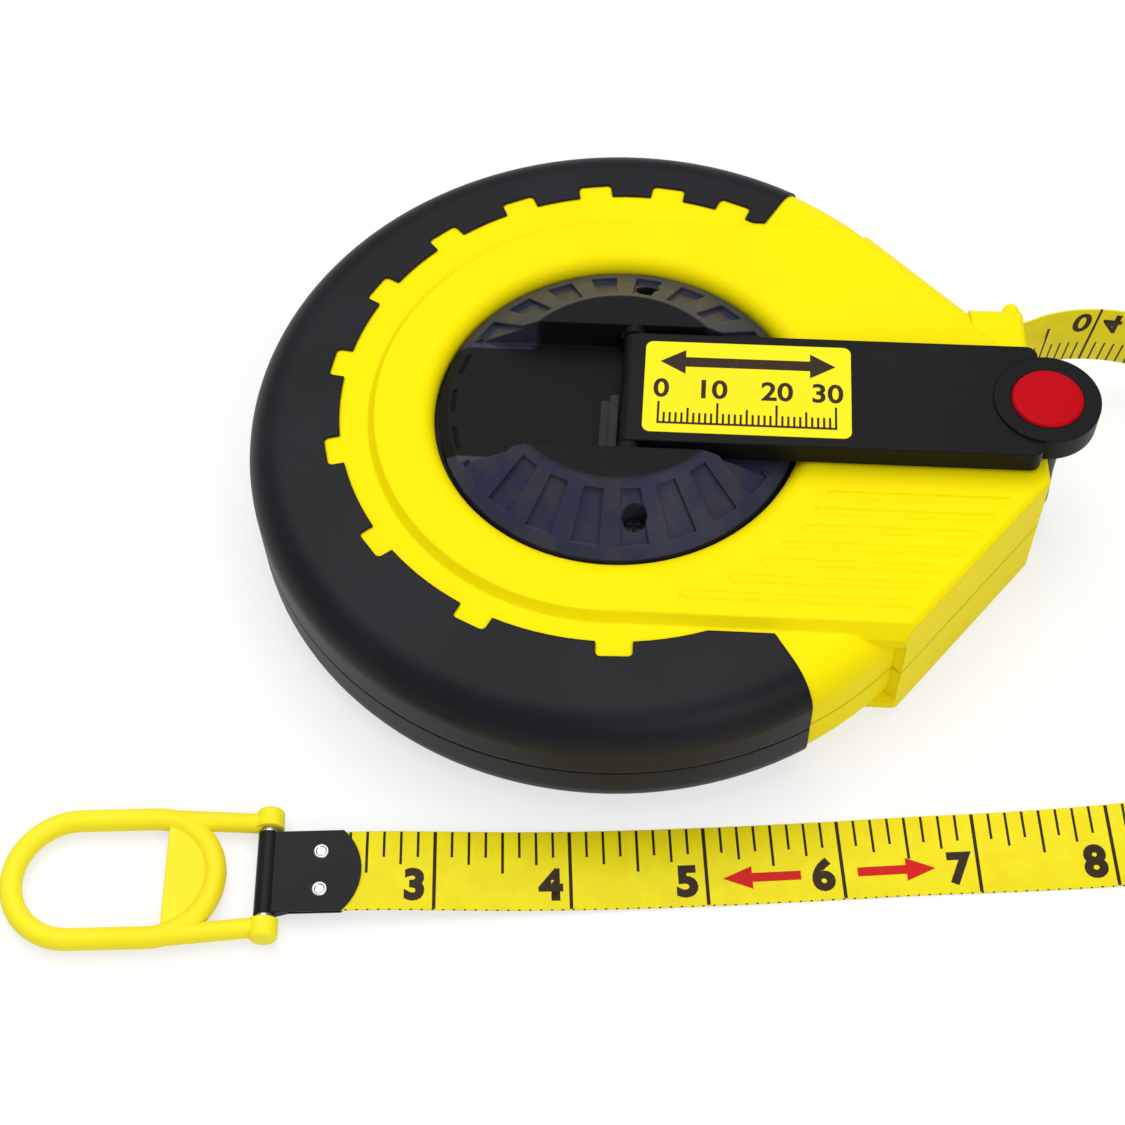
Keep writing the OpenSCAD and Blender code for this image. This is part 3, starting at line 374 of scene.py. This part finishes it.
def flat_ink(name, colour):
    """Printing ink: even colour, slightly mottled where it took up less."""
    material, signal, shader = start_finish(name)
    speck = signal.object_place().noise(900.0, 2.0)
    paler = tuple(0.75 * part + 0.02 for part in colour[:3]) + (1,)
    feed(shader, Base_Color=speck.soft_step(0.55, 0.8).mix_colour(colour, paler), Roughness=0.45,
         Specular_IOR_Level=0.15)
    return material


ink_black = flat_ink("ink_black", INK)
ink_red = flat_ink("ink_red", (0.60, 0.004, 0.004, 1))

inch_figures = [
    turned_figure(str(inch), height=6.0 * MM, weight=0.42 * MM,
                  right_foot=[inch * INCH - 1.6 * MM, -5.7 * MM], turn=1)
    for inch in range(3, 16)
]
inch_numbers = printed_on_tape("tape_inch_numbers", inch_figures, -PRINT_LIFT, ink_black)

# Each decimetre's two figures stand on both sides of its line, with small figures at the others.
centimetre_figures = [
    turned_figure(str(centimetre % 10), height=3.0 * MM, weight=0.1 * MM,
                  right_foot=[centimetre * 10 * MM - 0.9 * MM, 3.2 * MM], turn=-1)
    for centimetre in range(7, 42) if centimetre % 10
]
decimetre_figures = [
    turned_figure(text, height=5.6 * MM, weight=0.22 * MM,
                  right_foot=[decimetre * 100 * MM + beside, 6.6 * MM], turn=-1)
    for decimetre in range(1, 5) for text, beside in ((str(decimetre), -5.4 * MM), ("0", 1.1 * MM))
]
metric_numbers = printed_on_tape("tape_metric_numbers", centimetre_figures + decimetre_figures,
                                 PRINT_LIFT, ink_black)

ARROW_LENGTH, ARROW_HEAD = 14.6 * MM, 5.5 * MM
ARROW_HALF_HEAD, ARROW_HALF_SHAFT = 2.3 * MM, 0.9 * MM
ARROW_OFFSET = -2.7 * MM
arrow = np.array([
    [0, 0], [ARROW_HEAD, ARROW_HALF_HEAD], [ARROW_HEAD, ARROW_HALF_SHAFT],
    [ARROW_LENGTH, ARROW_HALF_SHAFT], [ARROW_LENGTH, -ARROW_HALF_SHAFT],
    [ARROW_HEAD, -ARROW_HALF_SHAFT], [ARROW_HEAD, -ARROW_HALF_HEAD],
])
arrow_face = [list(range(len(arrow)))]
red_arrows = [(arrow + [5 * INCH + 3 * MM, ARROW_OFFSET], arrow_face),
              (arrow * [-1, 1] + [7 * INCH - 8 * MM, ARROW_OFFSET], arrow_face)]
red_mark = printed_on_tape("tape_red_mark", red_arrows, -PRINT_LIFT, ink_red)


# Case shells and pull ring: yellow plastic mouldings with a fine satin grain, softly rounded
# on every edge. The shells are screwed together from below.
def moulded(name, colour, darker, roughness, grain, round_edge, shine=0.3):
    """Moulded plastic: faint flow in the colour, fine grain in the gloss, edges rounded in the light."""
    material, signal, shader = start_finish(name)
    place = signal.object_place()
    flow = place.noise(35.0, 4.0)
    skin = place.noise(grain, 3.0)
    feed(shader, Base_Color=flow.soft_step(0.35, 0.75).mix_colour(colour, darker),
         Roughness=roughness + 0.12 * (skin - 0.5), Specular_IOR_Level=shine,
         Normal=skin.bump(0.12, Normal=signal.rounded(round_edge)))
    return material


def dress(material, *names):
    """Gives CAD nodes a material."""
    for name in names:
        mesh = nodes[name].data
        mesh.materials.clear()
        mesh.materials.append(material)


case_yellow = moulded("case_yellow", colour=(0.95, 0.80, 0.001, 1), darker=(0.93, 0.77, 0.001, 1),
                      roughness=0.5, grain=2600.0, round_edge=0.7 * MM, shine=0.05)
dress(case_yellow, "case_upper", "case_lower")
ring_yellow = moulded("ring_yellow", colour=(0.96, 0.84, 0.020, 1), darker=(0.95, 0.78, 0.014, 1),
                      roughness=0.42, grain=2600.0, round_edge=0.5 * MM, shine=0.15)
dress(ring_yellow, "pull_ring")

# Rubber grips: soft black rubber moulded onto the rim of both shells, dull and finely grained,
# with a toothed inner edge on the upper one.
grip_rubber = moulded("grip_rubber", colour=(0.008, 0.008, 0.011, 1), darker=(0.012, 0.012, 0.016, 1),
                      roughness=0.44, grain=1800.0, round_edge=0.6 * MM, shine=0.13)
dress(grip_rubber, "grip_upper", "grip_lower")

# Drum and guide: plain black plastic mouldings inside the case. The drum turns on the lower
# shell's axle post over a white plastic washer, and the guide sits in the mouth.
inner_black = moulded("inner_black", colour=(0.012, 0.012, 0.013, 1), darker=(0.018, 0.018, 0.02, 1),
                      roughness=0.55, grain=1500.0, round_edge=0.3 * MM)
dress(inner_black, "drum_core", "drum_flange", "tape_guide")
washer_white = moulded("washer_white", colour=(0.78, 0.78, 0.74, 1), darker=(0.72, 0.72, 0.68, 1),
                       roughness=0.4, grain=1500.0, round_edge=0.2 * MM)
dress(washer_white, "drum_washer")


# Wound tape and the stretch inside the case: the same yellow vinyl band, wound on the drum and
# seen edge on in layers.
def wound_finish():
    """Yellow layers of tape: rings of slightly different shade round the drum axis."""
    material, signal, shader = start_finish("tape_wound")
    layers = signal.node("ShaderNodeTexWave", {"wave_type": "RINGS", "rings_direction": "Z"},
                         {"Vector": signal.object_place(), "Scale": 300.0, "Distortion": 0.4})
    feed(shader, Base_Color=layers.mix_colour((0.70, 0.55, 0.02, 1), TAPE_YELLOW), Roughness=0.45)
    return material


dress(wound_finish(), "tape_roll", "tape_lead")


# Steel parts: case screws, pins and eyelets of bright drawn steel, screwed or pressed in. The
# spring strip beside the crank's hinge and the hub screws are blued dark.
def steel_finish():
    """Bright steel with fine drawn streaks in its gloss."""
    material, signal, shader = start_finish("bright_steel")
    streak = signal.object_place().noise(700.0, 4.0)
    feed(shader, Base_Color=streak.mix_colour((0.50, 0.50, 0.52, 1), (0.66, 0.66, 0.67, 1)), Metallic=1.0,
         Roughness=0.24 + 0.16 * streak, Normal=signal.rounded(0.2 * MM))
    return material


dress(steel_finish(), "case_screws", "crank_pin", "knob_pin", "clip_eyelets", "ring_pin")
blued_steel = moulded("blued_steel", colour=(0.010, 0.010, 0.012, 1), darker=(0.016, 0.016, 0.018, 1),
                      roughness=0.32, grain=1400.0, round_edge=0.2 * MM, shine=0.15)
dress(blued_steel, "detent_spring", "hub_screws")

# Crank: hub, folding arm and finger knob moulded in black plastic. The hub is screwed to the
# drum, its middle is matt and its ribbed cone is satin, with a cool blue-grey sheen painted into its colour.
crank_black = moulded("crank_black", colour=(0.005, 0.005, 0.006, 1), darker=(0.008, 0.008, 0.009, 1),
                      roughness=0.42, grain=2200.0, round_edge=0.6 * MM, shine=0.1)
dress(crank_black, "crank_arm", "knob")
# The satin finish and the painted blue-grey sheen set in between these two distances from the hub's axis,
# and from the middle of its slot.
CONE_FROM, CONE_FULL = 22.2 * MM, 23.4 * MM
SLOT_FROM, SLOT_FULL = 13.5 * MM, 13.9 * MM


def hub_finish():
    """Black plastic: matt in the middle and in the slot on its -x side, with a satin cone whose blue-grey
    colour is a painted sheen.
    """
    material, signal, shader = start_finish("hub_black")
    place = signal.object_place()
    place_x = signal.node("ShaderNodeSeparateXYZ", None, {0: place})
    place_y = place_x.output(1)
    radius = (place_x * place_x + place_y * place_y).math("SQRT")
    beside_slot = place_y.math("ABSOLUTE").soft_step(SLOT_FROM, SLOT_FULL)
    cone = radius.soft_step(CONE_FROM, CONE_FULL) * beside_slot.either(place_x > 0.0)
    # The cone's blue-grey colour is a painted sheen, a painted reflection of cool light, in patches of
    # slightly different tone set by this noise.
    sheen_patches = place.noise(160.0, 5.0)
    skin = place.noise(2200.0, 3.0)
    painted_sheen_tint = sheen_patches.soft_step(0.35, 0.7).mix_colour((0.022, 0.025, 0.056, 1), (0.038, 0.037, 0.050, 1))
    feed(shader, Base_Color=cone.mix_colour((0.004, 0.004, 0.005, 1), painted_sheen_tint),
         Roughness=0.62 - 0.3 * cone + 0.1 * (skin - 0.5), Specular_IOR_Level=0.15,
         Normal=skin.bump(0.12, Normal=signal.rounded(0.5 * MM)))
    return material


dress(hub_finish(), "crank_hub")

# Label on the arm: a yellow plastic film stuck into a shallow seat, with a plain black scale
# and a double arrow printed on it. Sizes of the print are millimetres from the label's corner.
label_film = moulded("label_film", colour=(0.92, 0.80, 0.003, 1), darker=(0.90, 0.77, 0.003, 1),
                     roughness=0.45, grain=1200.0, round_edge=0.1 * MM, shine=0.15)
dress(label_film, "arm_label")
label_low, label_high = (np.array(extreme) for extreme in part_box("arm_label"))
PRINT_END = 3.0
BASE_LINE_LOW, BASE_LINE_HIGH = 2.0, 2.5
TICK_COUNT, TICK_FOOT, HALF_TICK = 31, 2.4, 0.22
TICK_LENGTH, FIFTH_LENGTH, TENTH_LENGTH = 2.4, 3.6, 5.0
FIGURE_FOOT, FIGURE_HEIGHT, FIGURE_WEIGHT = 8.6, 4.6, 0.14
FIGURE_FROM_LEFT, FIGURE_FROM_RIGHT = 3.4, 5.0
DOUBLE_MIDDLE, DOUBLE_HEAD, DOUBLE_HALF_HEAD, DOUBLE_HALF_SHAFT = 17.4, 5.0, 3.0, 1.2


def bars(rectangles):
    """Points and faces of flat rectangles, each left, right, low, high."""
    boxes = np.array(rectangles)
    points = boxes[:, [[0, 2], [1, 2], [1, 3], [0, 3]]].reshape(-1, 2)
    return points, np.arange(len(points)).reshape(-1, 4).tolist()


def double_arrow(length):
    """A long arrow with a head at both ends: the left half, and the same with left and right swapped."""
    tip, neck = PRINT_END, PRINT_END + DOUBLE_HEAD
    half = np.array([[neck, -DOUBLE_HALF_SHAFT], [neck, -DOUBLE_HALF_HEAD], [tip, 0],
                     [neck, DOUBLE_HALF_HEAD], [neck, DOUBLE_HALF_SHAFT]])
    outline = np.concatenate([half, [length, 0] + half[::-1] * [-1, 1]]) + [0, DOUBLE_MIDDLE]
    return outline, [list(range(len(outline)))[::-1]]


def label_print():
    """A double arrow, a ruled row of ticks that are longer at each fifth and tenth, and plain numbers."""
    length = (label_high - label_low)[0] / MM
    ticks = np.linspace(PRINT_END, length - PRINT_END, TICK_COUNT)
    count = np.arange(TICK_COUNT)
    lengths = np.where(count % 10 == 0, TENTH_LENGTH, np.where(count % 5 == 0, FIFTH_LENGTH, TICK_LENGTH))
    feet = np.full(TICK_COUNT, TICK_FOOT)
    drawings = [
        bars(np.stack([ticks - HALF_TICK, ticks + HALF_TICK, feet, feet + lengths], axis=1)),
        bars([[ticks[0] - HALF_TICK, ticks[-1] + HALF_TICK, BASE_LINE_LOW, BASE_LINE_HIGH]]),
    ]
    for number, place in zip(("0", "10", "20", "30"), ticks[::10]):
        points, faces = figure_mesh(number, FIGURE_HEIGHT, FIGURE_WEIGHT)
        middle = np.clip(place, FIGURE_FROM_LEFT, length - FIGURE_FROM_RIGHT)
        drawings.append((points + [middle - points[:, 0].mean(), FIGURE_FOOT], faces))
    drawings.append(double_arrow(length))
    points, faces = gathered(drawings)
    heights = np.full((len(points), 1), label_high[2] + INK_LIFT)
    return np.concatenate([points * MM + label_low[:2], heights], axis=1), faces


scale_print = add_piece("label_scale", *label_print(), "crank", "label_print")
scale_print.data.materials.append(ink_black)

# Red cap: a glossy moulded plastic disc pressed into the eye of the arm, over the pin that the
# finger knob turns on.
cap_red = moulded("cap_red", colour=(0.49, 0.0003, 0.007, 1), darker=(0.45, 0.0003, 0.006, 1),
                  roughness=0.3, grain=1200.0, round_edge=0.5 * MM, shine=0.05)
dress(cap_red, "knob_cap")

# End clip: thin steel sheet folded round the ring pin and over the tape's end, riveted through
# with the two eyelets and painted satin black.
clip_black = moulded("clip_black", colour=(0.008, 0.008, 0.011, 1), darker=(0.012, 0.012, 0.015, 1),
                     roughness=0.38, grain=1600.0, round_edge=0.2 * MM, shine=0.12)
dress(clip_black, "tape_clip")

# Stage: a white table in a white surround, under one soft box above and behind and a smaller
# one in front. The camera sees the table partly glowing, so that it fades into the surround.
TABLE_HALF = 3.0
TABLE_SHARE = 0.35
WHITE = (1, 1, 1, 1)
floor_mesh = bpy.data.meshes.new("floor")
floor_corners = np.array([[-1, -1, 0], [1, -1, 0], [1, 1, 0], [-1, 1, 0]]) * TABLE_HALF
floor_mesh.from_pydata(floor_corners.tolist(), [], [(0, 1, 2, 3)])
floor = bpy.data.objects.new("floor", floor_mesh)
bpy.context.scene.collection.objects.link(floor)


def floor_finish():
    """Pale grey to the light that falls on it, and white, partly glowing, to the camera and in the gloss."""
    material, signal, shader = start_finish("floor_white")
    feed(shader, Base_Color=(0.80, 0.80, 0.80, 1), Roughness=0.8, Specular_IOR_Level=0.0)
    ray = signal.node("ShaderNodeLightPath", out="Is Camera Ray")
    glow = signal.node("ShaderNodeEmission", None, {"Color": WHITE, "Strength": 1.0})
    table = signal.node("ShaderNodeBsdfDiffuse", None, {"Color": WHITE})
    lit = signal.node("ShaderNodeMixShader", None, {0: TABLE_SHARE, 1: glow, 2: table})
    plain = Signal(signal.tree, shader.outputs[0])
    shown = signal.node("ShaderNodeMixShader", None,
                        {0: ray.either(ray.output("Is Glossy Ray")), 1: plain, 2: lit})
    signal.tree.links.new(shown.socket, signal.tree.nodes["Material Output"].inputs["Surface"])
    return material


floor_mesh.materials.append(floor_finish())

world = bpy.data.worlds.new("surround")
world.use_nodes = True
background = world.node_tree.nodes["Background"]
background.inputs["Color"].default_value = WHITE
background.inputs["Strength"].default_value = 0.45
bpy.context.scene.world = world


def soft_box(name, place, size, power):
    """A square area lamp at place, turned to the origin."""
    lamp = bpy.data.lights.new(name, "AREA")
    lamp.size = size
    lamp.energy = power
    backwards = unit(np.array([place]))
    sideways = unit(np.cross([[0.0, 0.0, 1.0]], backwards))
    upwards = np.cross(backwards, sideways)
    set_up(bpy.data.objects.new(name, lamp), sideways[0], upwards[0], backwards[0], place)


soft_box("top_box", place=(-0.1, 0.25, 0.9), size=0.9, power=6.4)
soft_box("front_box", place=(0.5, -0.7, 0.7), size=0.6, power=3.0)
bpy.context.scene.view_settings.view_transform = "Standard"
